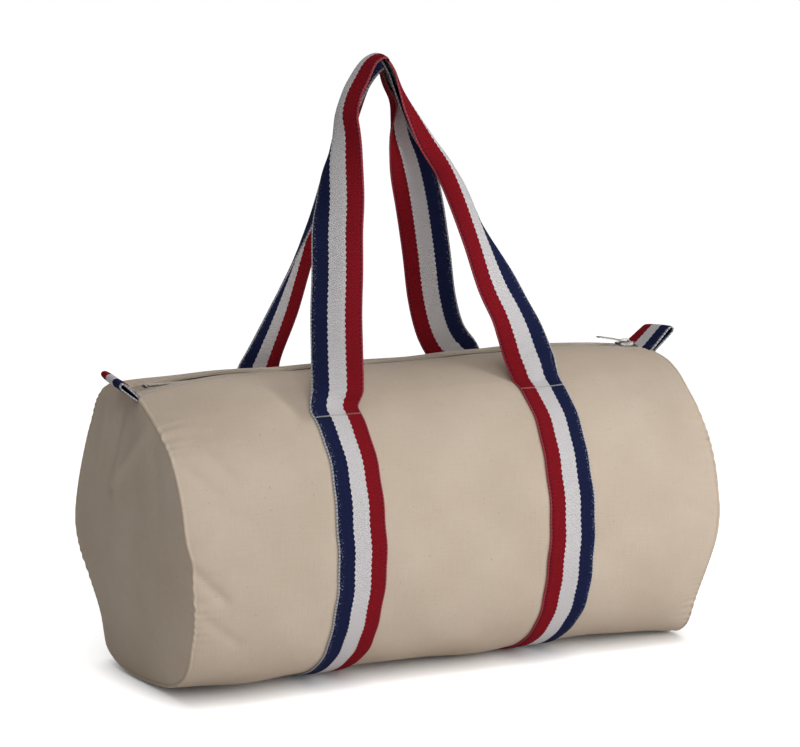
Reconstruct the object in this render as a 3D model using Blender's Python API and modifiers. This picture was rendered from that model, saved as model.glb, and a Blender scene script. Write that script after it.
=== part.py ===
"""Cotton canvas barrel holdall with tricolour webbing handles.

Metres, +X along the bag to the end where the closed zip's slider sits, -Y to the front, +Z up.
The origin is on the floor under the middle of the bag.
"""

from math import atan2, cos, hypot, pi, radians, sin, sqrt

import bmesh
import bpy
from mathutils import Matrix, Vector

# Canvas body
bag_length = 0.450  # seam to seam
bag_width = 0.240
bag_height = 0.237  # from the flat that it rests on to the zip line
base_flattening = 0.003  # how far the round section is pressed flat underneath
corner_fullness_share = 0.039  # how far the round section is filled out towards a square
sag_share = 0.025  # how far the widest line hangs below mid height, of the half height
seam_draw_in = 0.005  # how far the end seams pull the section in
shoulder_length = 0.020  # of the curve from the full section in to a seam
canvas_thickness = 0.0012
seam_allowance = 0.006
end_bulge = 0.010
binding_width = 0.004
binding_thickness = 0.001
clearance = 0.0003  # between pieces that touch or run on each other

# Mouth
mouth_end_margin = 0.045  # from an end seam to where the mouth starts
mouth_fold_angle = radians(27)  # from the top of the section to the line where the mouth's sides fold
zip_channel_width = 0.014  # between the canvas edges

# Webbing
webbing_width = 0.040
webbing_thickness = 0.0018
strap_offset = 0.0913  # from the middle of the bag to the middle of each strap
left_stitch_angle = radians(35.7)  # from the top of the section to where the handle starts
right_stitch_angle = radians(30.6)
thread_width = 0.0008
thread_height = 0.0004
thread_setback = 0.003  # from the end of the sewn strap to the cross stitch
thread_inset = 0.001  # from a strap's edge to the end of the cross stitch

# Handles
front_handle_rise = 0.2640  # from the stitches to the top of the loop
back_handle_rise = 0.2465
handle_top_offset = 0.002  # each handle's top stays this far on its own side
handle_steps = 44
squared_share = 0.12  # of the rise, over which the webbing's cross line turns square to its run

# Each row is a place on a handle's loop, from the left stitch to the right one: across, as a share
# of the strap offset; up, as a share of the handle's rise; and how far the webbing has turned, as
# a share of the half turn between its two ends.
front_handle_shares = (
    (-1.000, 0.00, 0.00),
    (-0.950, 0.10, 0.03),
    (-0.860, 0.31, 0.12),
    (-0.775, 0.50, 0.18),
    (-0.690, 0.66, 0.26),
    (-0.590, 0.83, 0.40),
    (-0.430, 0.95, 0.47),
    (-0.240, 1.00, 0.50),
    (-0.145, 0.93, 0.52),
    (-0.060, 0.82, 0.57),
    (0.190, 0.67, 0.72),
    (0.450, 0.53, 0.86),
    (0.660, 0.36, 0.99),
    (0.875, 0.16, 1.01),
    (1.000, 0.00, 1.00),
)
back_handle_shares = (
    (-1.000, 0.00, 0.00),
    (-0.940, 0.09, 0.03),
    (-0.800, 0.24, 0.13),
    (-0.690, 0.39, 0.20),
    (-0.600, 0.55, 0.28),
    (-0.520, 0.72, 0.38),
    (-0.420, 0.90, 0.46),
    (-0.270, 1.00, 0.50),
    (-0.165, 0.90, 0.53),
    (-0.085, 0.78, 0.58),
    (0.130, 0.66, 0.68),
    (0.350, 0.53, 0.78),
    (0.590, 0.34, 0.85),
    (0.770, 0.19, 0.89),
    (0.920, 0.08, 0.97),
    (1.000, 0.00, 1.00),
)

# Tab loops at the ends of the zip
tab_width = 0.040
tab_reach = 0.0184  # along the bag, from the tab's axis to its fold
tab_slit = 0.0014  # between the loop's two layers
tab_hem = 0.004  # where the layers are sewn together
left_tab_tilt = radians(25)  # above level
right_tab_tilt = radians(42)
tab_seat_direction = radians(50)  # from the seam's corner out to the tab's hem
tab_arc_steps = 6

# Zip
tape_width = 0.015
tape_thickness = 0.0006
zip_slot = 0.0018  # between the tapes, where the slider's wedge runs
coil_width = 0.0022
coil_height = 0.0018
stop_length = 0.0016
stop_wrap = 0.0006  # how far a stop reaches past the coils on each side
closed_seam_distance = 0.0145  # from the right seam to the middle of the closed slider
open_seam_distance = 0.0200  # from the left seam to the middle of the opened slider

# Slider and puller
slider_length = 0.015
slider_wall = 0.0012
slider_side = 0.0012
wedge_width = 0.0012
wedge_length = 0.006
bridge_length = 0.0090
bridge_width = 0.0016
bridge_wall = 0.0008
puller_length = 0.0275
puller_width = 0.0054
puller_tip_width = 0.0042
puller_thickness = 0.0012
puller_bar = 0.0012
puller_slot_width = 0.0028
puller_slot_length = 0.0062
puller_tilt = radians(6)
edge_rounding = 0.0003

# Colours, linear
canvas_colour = (0.50, 0.41, 0.32)
navy_colour = (0.014, 0.016, 0.060)
red_colour = (0.23, 0.010, 0.018)
white_colour = (0.55, 0.54, 0.54)
tape_colour = (0.52, 0.44, 0.35)
thread_colour = (0.70, 0.66, 0.64)
nickel_colour = (0.60, 0.60, 0.58)

# Worked out from the sizes above
half_length = bag_length / 2
half_width = bag_width / 2
half_height = (bag_height + base_flattening) / 2
sag = sag_share * half_height
ground_gap = webbing_thickness + clearance  # the straps pass under the canvas
top_height = bag_height + ground_gap
inside_canvas = canvas_thickness + clearance  # from the canvas's face to what lies against its back
mouth_half_length = half_length - mouth_end_margin
full_turn = 2 * pi

for old in list(bpy.data.objects):
    bpy.data.objects.remove(old, do_unlink=True)

holdall = bpy.data.collections.new("holdall")
guides = bpy.data.collections.new("guides")
for collection in (holdall, guides):
    bpy.context.scene.collection.children.link(collection)


# Shared modelling steps
def add_part(name, mesh, colour, roughness=0.9, metallic=0.0):
    """One sub-part with a material of its own."""
    material = bpy.data.materials.new(name)
    material.use_nodes = True
    shader = material.node_tree.nodes["Principled BSDF"]
    shader.inputs["Base Color"].default_value = (*colour, 1.0)
    shader.inputs["Roughness"].default_value = roughness
    shader.inputs["Metallic"].default_value = metallic
    part = bpy.data.objects.new(name, mesh)
    part.data.materials.append(material)
    holdall.objects.link(part)
    return part


def mesh_from(bm, name):
    mesh = bpy.data.meshes.new(name)
    bm.to_mesh(mesh)
    bm.free()
    return mesh


def sheet_mesh(name, rows, wrapped=False, left_out=None, middle=None):
    """Quads between neighbouring rows of points, less those for which left_out(row, column) holds.

    A middle point closes the last row of a round sheet.
    """
    bm = bmesh.new()
    grid = [[bm.verts.new(point) for point in row] for row in rows]
    count = len(rows[0])
    for i in range(len(rows) - 1):
        for j in range(count if wrapped else count - 1):
            if not (left_out and left_out(i, j)):
                k = (j + 1) % count
                bm.faces.new((grid[i][j], grid[i][k], grid[i + 1][k], grid[i + 1][j]))
    if middle is not None:
        centre = bm.verts.new(middle)
        for j in range(count):
            bm.faces.new((grid[-1][j], grid[-1][(j + 1) % count], centre))
    loose = [vert for vert in bm.verts if not vert.link_faces]
    bmesh.ops.delete(bm, geom=loose, context="VERTS")
    mesh = mesh_from(bm, name)
    mesh.shade_smooth()
    return mesh


def thicken(part, thickness, offset):
    """Gives an open sheet its thickness, against its normal at -1 and along it at 1."""
    solid = part.modifiers.new("Thickness", "SOLIDIFY")
    solid.thickness = thickness
    solid.offset = offset
    solid.use_even_offset = True


def box_mesh(name, low, high):
    size = Vector(high) - Vector(low)
    bm = bmesh.new()
    bmesh.ops.create_cube(bm, size=1)
    bmesh.ops.scale(bm, vec=size, verts=bm.verts)
    bmesh.ops.translate(bm, vec=Vector(low) + size / 2, verts=bm.verts)
    return mesh_from(bm, name)


def plate_mesh(name, outlines, thickness):
    """A flat plate about the XY plane; the outlines after the first are holes in it."""
    curve = bpy.data.curves.new(name, "CURVE")
    curve.dimensions = "2D"
    curve.fill_mode = "BOTH"
    curve.extrude = thickness / 2
    for outline in outlines:
        spline = curve.splines.new("POLY")
        spline.points.add(len(outline) - 1)
        for point, (u, v) in zip(spline.points, outline):
            point.co = (u, v, 0, 1)
        spline.use_cyclic_u = True
    drawn = bpy.data.objects.new(name, curve)
    guides.objects.link(drawn)
    mesh = bpy.data.meshes.new_from_object(drawn.evaluated_get(bpy.context.evaluated_depsgraph_get()))
    bpy.data.objects.remove(drawn)
    bm = bmesh.new()
    bm.from_mesh(mesh)
    bmesh.ops.remove_doubles(bm, verts=bm.verts, dist=clearance / 100)
    bmesh.ops.recalc_face_normals(bm, faces=bm.faces)
    return mesh_from(bm, name)


def round_edges(part, width):
    rounding = part.modifiers.new("Edges", "BEVEL")
    rounding.width = width
    rounding.segments = 1
    rounding.limit_method = "ANGLE"


def spread(start, end, steps):
    return [start + (end - start) * i / steps for i in range(steps + 1)]


def arc(centre, radius, start, end, steps):
    return [(centre[0] + radius * cos(a), centre[1] + radius * sin(a)) for a in spread(start, end, steps)]


# The canvas section: angles run from the top of the bag towards its front
def round_section(angle, shrink):
    width = (half_width - shrink) / (1 - corner_fullness_share)
    y = -width * (sin(angle) + corner_fullness_share * sin(3 * angle))
    z = (half_height - shrink) * cos(angle) + sag * (cos(2 * angle) - 1)
    return y, z + top_height - half_height


def section(angle, outwards=0.0, shrink=0.0):
    """A point (y, z), moved along the section's normal, with the section pressed flat underneath."""
    small_step = radians(0.1)
    y, z = round_section(angle, shrink)
    y0, z0 = round_section(angle - small_step, shrink)
    y1, z1 = round_section(angle + small_step, shrink)
    run = hypot(y1 - y0, z1 - z0)
    y += outwards * (z1 - z0) / run
    z -= outwards * (y1 - y0) / run
    return y, max(z, ground_gap - outwards)


def shrink_at(x):
    """How far the section is drawn in at x."""
    depth = max(0.0, abs(x) - (half_length - shoulder_length)) / shoulder_length
    return seam_draw_in * (1 - sqrt(max(0.0, 1 - depth**2)))


def on_bag(x, angle, outwards=0.0):
    return Vector((x, *section(angle, outwards, shrink_at(x))))


def angle_in_front(distance):
    """Angle of the point that stands this far in front of the zip line."""
    low, high = 0.0, pi / 3
    for _ in range(40):
        middle = (low + high) / 2
        if -section(middle)[0] < distance:
            low = middle
        else:
            high = middle
    return low


edge_angle = angle_in_front(zip_channel_width / 2)
fold_gap_angle = clearance / 2 / half_height
lip_end_angle = mouth_fold_angle - fold_gap_angle
body_start_angle = mouth_fold_angle + fold_gap_angle
flat_edge_angle = pi - sqrt(base_flattening / (half_height / 2 - 2 * sag))
side_angles = spread(body_start_angle, flat_edge_angle, 12)
body_angles = side_angles + [pi] + [full_turn - a for a in reversed(side_angles)]

# Main panel: one length of canvas round the body, open along the zip and round the mouth
beside_zip_angles = spread(edge_angle, body_start_angle, 4)[:-1]
panel_angles = beside_zip_angles + body_angles + [full_turn - a for a in reversed(beside_zip_angles)]
shoulder_stations = [half_length - shoulder_length * (1 - sin(a)) for a in spread(0.0, pi / 2, 4)]
mouth_edge = mouth_half_length + clearance / 2
half_stations = [mouth_edge] + shoulder_stations
panel_stations = [-x for x in reversed(half_stations)] + half_stations


def over_mouth(i, j):
    between_ends = abs(panel_stations[i] + panel_stations[i + 1]) / 2 < mouth_edge
    above_folds = min(j, len(panel_angles) - 2 - j) < len(beside_zip_angles)
    return between_ends and above_folds


panel_rows = [[on_bag(x, a) for a in panel_angles] for x in panel_stations]
main_panel = add_part("main_panel", sheet_mesh("main_panel", panel_rows, left_out=over_mouth), canvas_colour)
thicken(main_panel, canvas_thickness, -1)

# End panels, bulged by the filling, with their seam allowance turned in; and the cotton binding
# that covers the seam inside
ring_angles = [0.0] + panel_angles
dome_shares = (0.95, 0.82, 0.60, 0.32)
for side, end in ((-1, "left"), (1, "right")):
    rim = [on_bag(side * half_length, a, -inside_canvas) for a in ring_angles]
    hem_x = side * (half_length - seam_allowance)
    hem = [on_bag(hem_x, a, -inside_canvas) for a in ring_angles]
    middle = Vector((side * (half_length + end_bulge), 0, top_height - half_height))
    rings = [hem, rim]
    for share in dome_shares:
        x = side * (half_length + end_bulge * (1 - share**2))
        rings.append([(x, p.y * share, middle.z + (p.z - middle.z) * share) for p in rim])
    mesh = sheet_mesh(f"{end}_end_panel", rings, wrapped=True, middle=middle)
    thicken(add_part(f"{end}_end_panel", mesh, canvas_colour), canvas_thickness, -side)

    binding_depth = inside_canvas + canvas_thickness + 2 * clearance
    inner, outer = ([on_bag(x, a, -binding_depth) for a in ring_angles] for x in (hem_x, side * half_length))
    rows = [inner, [p.lerp(q, binding_width / seam_allowance) for p, q in zip(inner, outer)]]
    mesh = sheet_mesh(f"{end}_seam_binding", rows, wrapped=True)
    thicken(add_part(f"{end}_seam_binding", mesh, tape_colour), binding_thickness, -side)

# Mouth: the canvas sides that fold open, each with its zip tape and its half of the coil
lip_reach = mouth_half_length - clearance / 2
tape_inner = zip_slot / 2
tape_angles = [angle_in_front(tape_inner + tape_width * share) for share in (0.0, 0.2, 0.4, 0.7, 1.0)]
coil_base = top_height - inside_canvas + clearance
coil_top = coil_base + coil_height
for front, side_name in ((1, "front"), (-1, "back")):
    turn = (lambda a: a) if front == 1 else (lambda a: full_turn - a)
    ends = (-lip_reach * front, lip_reach * front)
    rows = [[on_bag(x, turn(a)) for a in spread(edge_angle, lip_end_angle, 4)] for x in ends]
    lip = add_part(f"{side_name}_mouth_panel", sheet_mesh(f"{side_name}_mouth_panel", rows), canvas_colour)
    thicken(lip, canvas_thickness, -1)
    rows = [[on_bag(x, turn(a), -inside_canvas) for a in tape_angles] for x in ends]
    tape = add_part(f"{side_name}_zip_tape", sheet_mesh(f"{side_name}_zip_tape", rows), tape_colour)
    thicken(tape, tape_thickness, -1)
    y_near, y_far = sorted((-front * tape_inner, -front * (tape_inner + coil_width)))
    coil = box_mesh(f"{side_name}_zip_coil", (-lip_reach, y_near, coil_base), (lip_reach, y_far, coil_top))
    add_part(f"{side_name}_zip_coil", coil, tape_colour, roughness=0.5)

# Zip ends: narrow tapes in the canvas channel, the coils' last stretch and a metal stop. The slot
# between the two tapes ends where the slider does.
closed_x = half_length - closed_seam_distance
open_x = half_length - open_seam_distance
end_tape_half = zip_channel_width / 2 - clearance
tape_top = coil_base - clearance
coil_reach = tape_inner + coil_width
for side, end, slider_x in ((-1, "left", open_x), (1, "right", closed_x)):
    slot_end = slider_x + slider_length / 2 + clearance
    coil_end = slot_end + coil_width / 2
    stop_start = coil_end + clearance
    tape_end = stop_start + stop_length
    start = mouth_half_length + clearance / 2
    for name, far, half, thickness, middle_z, colour in (
        ("zip_end_tape", tape_end, end_tape_half, tape_thickness, tape_top - tape_thickness / 2, tape_colour),
        ("zip_end_coil", coil_end, coil_reach, coil_height, (coil_base + coil_top) / 2, tape_colour),
    ):
        fork = [(start, half), (far, half), (far, -half), (start, -half)]
        fork += [(start, -tape_inner), (slot_end, -tape_inner), (slot_end, tape_inner), (start, tape_inner)]
        mesh = plate_mesh(f"{end}_{name}", [[(side * x, y) for x, y in fork]], thickness)
        add_part(f"{end}_{name}", mesh, colour).location.z = middle_z
    x_near, x_far = sorted((side * stop_start, side * tape_end))
    stop_half = coil_reach + stop_wrap
    mesh = box_mesh(f"{end}_zip_stop", (x_near, -stop_half, coil_base), (x_far, stop_half, coil_top))
    stop = add_part(f"{end}_zip_stop", mesh, nickel_colour, roughness=0.3, metallic=1.0)
    round_edges(stop, edge_rounding)

# Slider: two plates joined by a wedge, sides that keep the coils in, and a bridge for the puller.
# Its origin is on the puller's axis.
plate_base = coil_top + clearance
plate_top = plate_base + slider_wall
pivot_height = plate_top + clearance + puller_thickness / 2
bridge_inside = pivot_height + puller_thickness / 2 + clearance
side_inner = coil_reach + clearance
slider_half_width = side_inner + slider_side
lower_top = tape_top - tape_thickness - clearance
overlap = slider_wall / 4  # by which the slider's blocks run into each other before they are joined
slider_blocks = [
    (-slider_length / 2, slider_length / 2, -slider_half_width, slider_half_width, plate_base, plate_top),
    (-slider_length / 2, slider_length / 2, side_inner, slider_half_width, coil_base, plate_base + overlap),
    (-slider_length / 2, slider_length / 2, -slider_half_width, -side_inner, coil_base, plate_base + overlap),
    (
        slider_length / 2 - wedge_length,
        slider_length / 2,
        -wedge_width / 2,
        wedge_width / 2,
        lower_top - overlap,
        plate_base + overlap,
    ),
    (
        -slider_length / 2,
        slider_length / 2,
        -slider_half_width,
        slider_half_width,
        lower_top - slider_wall,
        lower_top,
    ),
    (-bridge_length / 2, -bridge_length / 2 + bridge_wall, -bridge_width / 2, bridge_width / 2)
    + (plate_top - overlap, bridge_inside + bridge_wall),
    (bridge_length / 2 - bridge_wall, bridge_length / 2, -bridge_width / 2, bridge_width / 2)
    + (plate_top - overlap, bridge_inside + bridge_wall),
    (-bridge_length / 2, bridge_length / 2, -bridge_width / 2, bridge_width / 2)
    + (bridge_inside, bridge_inside + bridge_wall),
]
slider = None
for k, (x0, x1, y0, y1, z0, z1) in enumerate(slider_blocks):
    block = box_mesh(f"slider_block_{k}", (x0, y0, z0 - pivot_height), (x1, y1, z1 - pivot_height))
    if slider is None:
        slider = add_part("zip_slider", block, nickel_colour, roughness=0.28, metallic=1.0)
        continue
    guide = bpy.data.objects.new(f"slider_block_{k}", block)
    guide.hide_render = True
    guide.display_type = "WIRE"
    guides.objects.link(guide)
    guide.location = (closed_x, 0, pivot_height)
    union = slider.modifiers.new(f"Join {k}", "BOOLEAN")
    union.operation = "UNION"
    union.object = guide
slider.location = (closed_x, 0, pivot_height)

# Puller: a slotted plate whose end bar turns under the bridge
bar = puller_bar / 2
slot = puller_slot_width / 2
neck = bar + puller_slot_length + puller_bar
outline = [(bar, puller_width / 2), (-neck, puller_width / 2)]
outline += arc((-puller_length + puller_tip_width / 2, 0), puller_tip_width / 2, pi / 2, 3 * pi / 2, 8)
outline += [(-neck, -puller_width / 2), (bar, -puller_width / 2)]
hole = [(-bar, -slot), (-bar - puller_slot_length, -slot), (-bar - puller_slot_length, slot), (-bar, slot)]
puller = add_part(
    "zip_puller",
    plate_mesh("zip_puller", [outline, hole], puller_thickness),
    nickel_colour,
    roughness=0.28,
    metallic=1.0,
)
puller.location = (closed_x, 0, pivot_height)
puller.rotation_euler = (0, puller_tilt, 0)


# Webbing sewn round the body, from the front handle's stitches under the bag to the back handle's
def hinge_point(side, stitch_angle, front):
    """Where a handle turns on its strap: just above the face of the strap's sewn end."""
    angle = stitch_angle if front else full_turn - stitch_angle
    return on_bag(side * strap_offset, angle, 2 * clearance + webbing_thickness)


straps = ((-1, "left", left_stitch_angle), (1, "right", right_stitch_angle))
for side, end, stitch_angle in straps:
    angles = [stitch_angle]
    angles += [a for a in body_angles if stitch_angle < a < full_turn - stitch_angle]
    angles += [full_turn - stitch_angle]
    edges = [side * strap_offset - webbing_width / 2, side * strap_offset + webbing_width / 2]
    rows = [[on_bag(x, a, clearance) for a in angles] for x in edges]
    webbing = add_part(f"{end}_body_webbing", sheet_mesh(f"{end}_body_webbing", rows), navy_colour)
    thicken(webbing, webbing_thickness, 1)

    # Cross stitches, one row of thread at each end of the sewn webbing
    for front, side_name in ((True, "front"), (False, "back")):
        setback = thread_setback / half_height
        angle = stitch_angle + setback if front else full_turn - stitch_angle - setback
        foot = on_bag(side * strap_offset, angle, 2 * clearance + webbing_thickness)
        above = on_bag(side * strap_offset, angle, 3 * clearance + webbing_thickness)
        reach = webbing_width / 2 - thread_inset
        name = f"{side_name}_{end}_cross_stitch"
        mesh = box_mesh(name, (-reach, -thread_width / 2, 0), (reach, thread_width / 2, thread_height))
        thread = add_part(name, mesh, thread_colour)
        thread.location = foot
        thread.rotation_euler = (atan2(foot.y - above.y, above.z - foot.z), 0, 0)


# Handles: each a loop of webbing that turns edge on towards its top
def smooth_rows(rows, steps):
    """Rows read from a smooth curve through the given rows."""
    padded = [rows[0], *rows, rows[-1]]
    result = []
    for k in range(steps + 1):
        place = (len(rows) - 1) * k / steps
        i = min(int(place), len(rows) - 2)
        t = place - i
        p0, p1, p2, p3 = (Vector(row) for row in padded[i : i + 4])
        bend = (2 * p0 - 5 * p1 + 4 * p2 - p3) * t**2 + (3 * p1 - p0 - 3 * p2 + p3) * t**3
        result.append(p1 + ((p2 - p0) * t + bend) / 2)
    return result


for front, side_name, shares, rise in (
    (True, "front", front_handle_shares, front_handle_rise),
    (False, "back", back_handle_shares, back_handle_rise),
):
    outward = -1 if front else 1
    left_root, right_root = (hinge_point(side, angle, front) for side, _, angle in straps)
    middle_root = (left_root + right_root) / 2
    lean = Vector((0, outward * handle_top_offset - middle_root.y, rise))
    start_gap = lean.normalized() * clearance
    centres, across, squared = [], [], []
    for x_share, rise_share, turn_share in smooth_rows(shares, handle_steps):
        root = middle_root + (right_root - left_root) / 2 * x_share
        centres.append(root + lean * rise_share + start_gap)
        turn = pi * turn_share
        across.append(Vector((cos(turn), outward * sin(turn), 0)))
        squared.append(min(1.0, rise_share / squared_share))
    rows = []
    for k, centre in enumerate(centres):
        along = (centres[min(k + 1, handle_steps)] - centres[max(k - 1, 0)]).normalized()
        direction = across[k] - squared[k] * across[k].dot(along) * along
        half = direction.normalized() * webbing_width / 2
        rows.append([centre - half, centre - half / 3, centre + half / 3, centre + half])
    handle = add_part(f"{side_name}_handle", sheet_mesh(f"{side_name}_handle", rows), navy_colour)
    thicken(handle, webbing_thickness, outward)

# Tab loops: a short strip of the webbing folded in half at each end of the zip
tab_half = webbing_thickness + tab_slit / 2
seat_distance = tab_half + clearance
for side, end, tilt in ((-1, "left", left_tab_tilt), (1, "right", right_tab_tilt)):
    tab_length = tab_reach / cos(tilt)
    outline = arc((0, 0), tab_half, pi / 2, 3 * pi / 2, tab_arc_steps)
    outline += arc((tab_length, 0), tab_half, -pi / 2, pi / 2, tab_arc_steps)
    slit = arc((tab_hem, 0), tab_slit / 2, pi / 2, 3 * pi / 2, 2)
    slit += arc((tab_length, 0), tab_slit / 2, -pi / 2, pi / 2, 4)
    tab = add_part(f"{end}_tab_loop", plate_mesh(f"{end}_tab_loop", [outline, slit], tab_width), white_colour)
    tab.location = (
        side * (half_length + seat_distance * cos(tab_seat_direction)),
        0,
        top_height - seam_draw_in + seat_distance * sin(tab_seat_direction),
    )
    tab.rotation_euler = (pi / 2, -tilt if side == 1 else pi + tilt, 0)
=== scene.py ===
"""Barrel holdall of natural cotton canvas with navy, white and red webbing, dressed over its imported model."""

from math import cos, pi, radians, sin, tau

import bmesh
import bpy
import numpy as np
from mathutils import Matrix, Vector


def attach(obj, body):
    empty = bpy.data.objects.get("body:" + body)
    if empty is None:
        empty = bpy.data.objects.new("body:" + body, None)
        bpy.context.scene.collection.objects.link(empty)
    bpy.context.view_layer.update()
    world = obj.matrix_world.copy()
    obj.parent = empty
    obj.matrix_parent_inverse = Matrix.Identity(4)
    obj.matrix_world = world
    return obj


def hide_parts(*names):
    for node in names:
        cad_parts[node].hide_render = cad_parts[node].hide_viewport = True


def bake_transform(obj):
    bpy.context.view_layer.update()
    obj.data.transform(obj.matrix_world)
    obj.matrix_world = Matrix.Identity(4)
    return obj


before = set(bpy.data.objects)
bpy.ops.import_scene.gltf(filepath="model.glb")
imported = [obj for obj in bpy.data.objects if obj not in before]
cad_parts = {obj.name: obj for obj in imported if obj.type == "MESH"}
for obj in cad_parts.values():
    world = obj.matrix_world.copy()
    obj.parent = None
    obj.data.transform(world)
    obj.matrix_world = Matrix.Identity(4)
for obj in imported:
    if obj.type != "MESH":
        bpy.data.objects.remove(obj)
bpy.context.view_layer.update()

scene = bpy.context.scene
scene.view_settings.view_transform = "Standard"

# Camera: to the left of the bag's front and a little above it, as in the photo, with a long lens. It
# looks at the middle of the bag and its handles.
camera_azimuth, camera_elevation = radians(-27.07), radians(9.74)
camera_distance = 2.169
camera_aim = Vector((0.002, 0, 0.2262))
camera = bpy.data.objects.new("camera", bpy.data.cameras.new("camera"))
scene.collection.objects.link(camera)
scene.camera = camera
camera.data.sensor_width = 36
camera.data.lens = 123.03
level = cos(camera_elevation)
towards_camera = Vector((sin(camera_azimuth) * level, -cos(camera_azimuth) * level, sin(camera_elevation)))
camera.location = camera_aim + camera_distance * towards_camera
camera.rotation_euler = towards_camera.to_track_quat("Z", "Y").to_euler()


# Studio: one big soft lamp low to the right of the front, a weaker one high in front, and a wide soft
# light from overhead. The camera, metal and glass see a white surround that adds little light.
surround_light = 0.04


def soft_lamp(name, place, size, watts):
    lamp = bpy.data.objects.new(name, bpy.data.lights.new(name, "AREA"))
    lamp.data.size = size
    lamp.data.energy = watts
    lamp.location = place
    lamp.rotation_euler = (Vector(place) - Vector((0, 0, 0.15))).to_track_quat("Z", "Y").to_euler()
    scene.collection.objects.link(lamp)


soft_lamp("key", (1.06, -1.28, 0.32), 0.9, 17.0)
soft_lamp("fill", (-0.44, -1.66, 1.25), 1.0, 10.0)

overhead = bpy.data.objects.new("overhead", bpy.data.lights.new("overhead", "SUN"))
overhead.data.energy = 1.25
overhead.data.angle = radians(70)
scene.collection.objects.link(overhead)


class Wire:
    """A value that a node gives; sums on it add Math nodes."""

    def __init__(self, board, socket):
        self.board, self.socket = board, socket

    def maths(self, operation, *values):
        return self.board.node("ShaderNodeMath", {"operation": operation}, dict(enumerate(values)))

    def __add__(self, other):
        return self.maths("ADD", self, other)

    def __sub__(self, other):
        return self.maths("SUBTRACT", self, other)

    def __rsub__(self, other):
        return self.maths("SUBTRACT", other, self)

    def __mul__(self, other):
        return self.maths("MULTIPLY", self, other)

    __radd__, __rmul__ = __add__, __mul__

    def wave(self, length):
        return self.maths("SINE", self * (tau / length))

    def teeth(self, length):
        """A zigzag from -1 to 1 with this length."""
        return self.maths("PINGPONG", self, length / 2) * (4 / length) - 1

    def step(self, start, end):
        """0 up to the start and 1 from the end, with a smooth change between."""
        ends = {"Value": self, "From Min": start, "From Max": end}
        return self.board.node("ShaderNodeMapRange", {"interpolation_type": "SMOOTHSTEP"}, ends)


class Board:
    """The nodes of one finish, or of the surround."""

    def __init__(self, tree):
        self.tree = tree

    def feed(self, socket, value):
        if isinstance(value, Wire):
            self.tree.links.new(value.socket, socket)
        else:
            socket.default_value = value

    def node(self, kind, settings, inputs, output=0):
        made = self.tree.nodes.new(kind)
        for name, value in settings.items():
            setattr(made, name, value)
        for name, value in inputs.items():
            self.feed(made.inputs[name], value)
        return Wire(self, made.outputs[output])

    def seen(self):
        """1 for the camera and for what metal and glass show, 0 for the light on other things."""
        camera_ray, mirrored, through_glass = (
            self.node("ShaderNodeLightPath", {}, {}, output=ray)
            for ray in ("Is Camera Ray", "Is Glossy Ray", "Is Transmission Ray")
        )
        return camera_ray.maths("MAXIMUM", camera_ray.maths("MAXIMUM", camera_ray, mirrored), through_glass)


world = bpy.data.worlds.new("studio")
world.use_nodes = True
scene.world = world
sky = world.node_tree.nodes["Background"]
sky.inputs["Color"].default_value = (1, 1, 1, 1)
surround = Board(world.node_tree)
surround.feed(sky.inputs["Strength"], surround_light + surround.seen() * (1 - surround_light))


# Floor: a plain white studio sweep. The camera, metal and glass see it as clear white. It keeps the
# bag's shadow from the lamps, and where the canvas meets it ambient occlusion dims its glow: a painted contact
# shadow.
floor_half = 6.0
floor_white, seen_white, floor_glow = (0.92,) * 3, (0.95,) * 3, (0.62,) * 3
contact_reach = 0.02


class Finish(Board):
    """One material, built on its Principled shader."""

    def __init__(self, name, roughness, metallic=0.0, gloss=0.12):
        self.material = bpy.data.materials.new(name)
        self.material.use_nodes = True
        super().__init__(self.material.node_tree)
        self.shader = self.tree.nodes["Principled BSDF"]
        self.shader.inputs["Roughness"].default_value = roughness
        self.shader.inputs["Metallic"].default_value = metallic
        self.shader.inputs["Specular IOR Level"].default_value = gloss

    def mix(self, share, first, second):
        """One colour over another."""
        inputs = {0: share}
        for socket, value in ((6, first), (7, second)):
            inputs[socket] = value if isinstance(value, Wire) else (*value, 1.0)
        return self.node("ShaderNodeMix", {"data_type": "RGBA"}, inputs, output=2)

    def cloth_place(self):
        """Across and along the cloth, in metres."""
        place = self.node("ShaderNodeUVMap", {}, {})
        across = self.node("ShaderNodeSeparateXYZ", {}, {0: place})
        return across, self.node("ShaderNodeSeparateXYZ", {}, {0: place}, output=1)

    def noise(self, across, along, detail=2.0):
        """Cloudy values from 0 to 1 over two stretched directions."""
        place = self.node("ShaderNodeCombineXYZ", {}, {0: across, 1: along})
        return self.node("ShaderNodeTexNoise", {}, {"Vector": place, "Scale": 1.0, "Detail": detail})

    def wear(self, colour, height=None, depth=0.001):
        self.feed(self.shader.inputs["Base Color"], colour)
        if height is not None:
            bump = self.node("ShaderNodeBump", {}, {"Height": height, "Distance": depth, "Strength": 1.0})
            self.feed(self.shader.inputs["Normal"], bump)
        return self.material


sweep = bpy.data.objects.new("sweep", bpy.data.meshes.new("sweep"))
corners = [(x * floor_half, y * floor_half, 0) for x, y in ((-1, -1), (1, -1), (1, 1), (-1, 1))]
sweep.data.from_pydata(corners, [], [(0, 1, 2, 3)])
scene.collection.objects.link(sweep)
floor_finish = Finish("white_sweep", roughness=1.0, gloss=0.0)
seen = floor_finish.seen()
floor_finish.wear(floor_finish.mix(seen, floor_white, seen_white))
# painted contact shadow: ambient occlusion darkens the glow that the camera sees near the bag
open_above = floor_finish.node(
    "ShaderNodeAmbientOcclusion", {"samples": 12}, {"Distance": contact_reach}, output="AO"
)
glow = floor_finish.mix(seen * open_above, (0.0, 0.0, 0.0), floor_glow)
floor_finish.feed(floor_finish.shader.inputs["Emission Color"], glow)
floor_finish.shader.inputs["Emission Strength"].default_value = 1.0
sweep.data.materials.append(floor_finish.material)

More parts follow.
